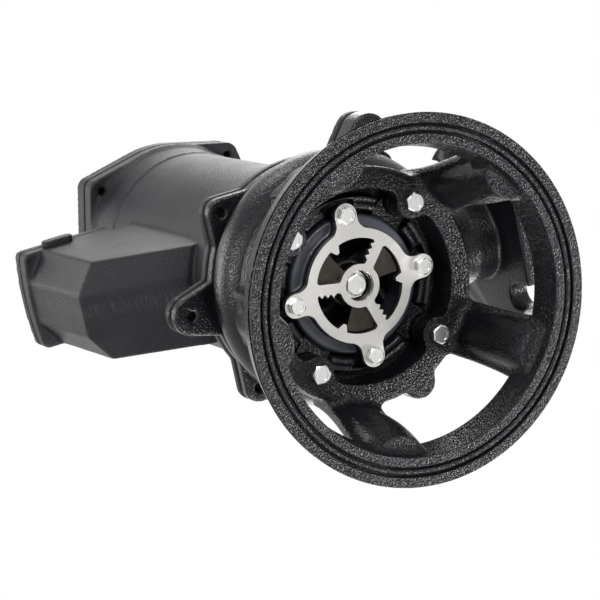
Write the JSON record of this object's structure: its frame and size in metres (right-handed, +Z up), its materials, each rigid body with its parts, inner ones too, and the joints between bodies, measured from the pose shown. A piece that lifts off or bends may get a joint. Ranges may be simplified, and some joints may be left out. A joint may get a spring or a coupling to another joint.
{
  "type": "submersible sewage pump",
  "caption": "Upright submersible grinder pump: motor barrel with side box, scroll volute with side discharge flange, toothed suction cutter and ring stand on splayed legs.",
  "frame": {"origin": "centre of the foot ring's underside, on the shaft line", "axes": "+Z up along the shaft from the foot ring to the motor cap, +X out of the discharge, +Y to the left of +X"},
  "size_m": [0.2915, 0.2534, 0.4955],
  "materials": {
    "cast_coarse": "satin black paint on a coarse cast surface",
    "cast_fine": "satin black paint on a fine cast surface",
    "cover_coat": "smooth blue-grey coat",
    "stainless_plate": "fine brushed",
    "stainless_bolt": "bright",
    "stainless_rod": "drawn, satin",
    "cutter_steel": "ground, dark",
    "shaft_steel": "ground",
    "bearing_steel": "polished",
    "lamination": "stacked sheet",
    "copper_winding": "enamelled wire",
    "gasket_rubber": "matt",
    "seal_rubber": "matt",
    "ceramic": "lapped face",
    "black_plastic": "fine grain",
    "capacitor_can": "drawn can",
    "gland_brass": "plain turned"
  },
  "bodies": {
    "pump_body": {"leg_stand": "cast_coarse", "volute_casing": "cast_coarse", "suction_cover": "cover_coat", "stand_bolts": "stainless_bolt", "cutter_plate": "stainless_plate", "cutter_plate_screws": "stainless_bolt", "joint_gasket": "gasket_rubber", "joint_bolts": "stainless_bolt", "seal_housing": "cast_fine", "lower_seal_seat": "ceramic", "upper_seal_seat": "ceramic", "lower_bearing_outer_ring": "bearing_steel", "upper_bearing_outer_ring": "bearing_steel", "wave_spring": "bearing_steel", "stator_core": "lamination", "stator_windings": "copper_winding", "motor_housing": "cast_fine", "cap_gasket": "gasket_rubber", "motor_cap": "cast_fine", "cap_screws": "stainless_bolt", "lifting_handle": "stainless_rod", "box_cover_gasket": "gasket_rubber", "box_cover": "cast_fine", "box_cover_screws": "stainless_bolt", "box_side_plug": "black_plastic", "cable_gland_body": "gland_brass", "cable_gland_nut": "gland_brass", "cable_gland_bushing": "seal_rubber", "run_capacitor": "capacitor_can", "start_capacitor": "black_plastic", "start_relay": "black_plastic", "start_gear_shelf": "shaft_steel"},
    "rotor": {"shaft": "shaft_steel", "impeller": "cast_fine", "impeller_key": "shaft_steel", "rotating_cutter": "cutter_steel", "cutter_washer": "stainless_bolt", "cutter_bolt": "stainless_bolt", "lower_bearing_inner_ring": "bearing_steel", "upper_bearing_inner_ring": "bearing_steel", "lower_seal_head": "seal_rubber", "upper_seal_head": "seal_rubber", "rotor_core": "lamination"}
  },
  "joints": [
    {"name": "shaft_spin", "type": "hinge", "parent": "pump_body", "child": "rotor", "pos_m": [0, 0, 0], "axis": [0, 0, 1], "continuous": true}
  ]
}
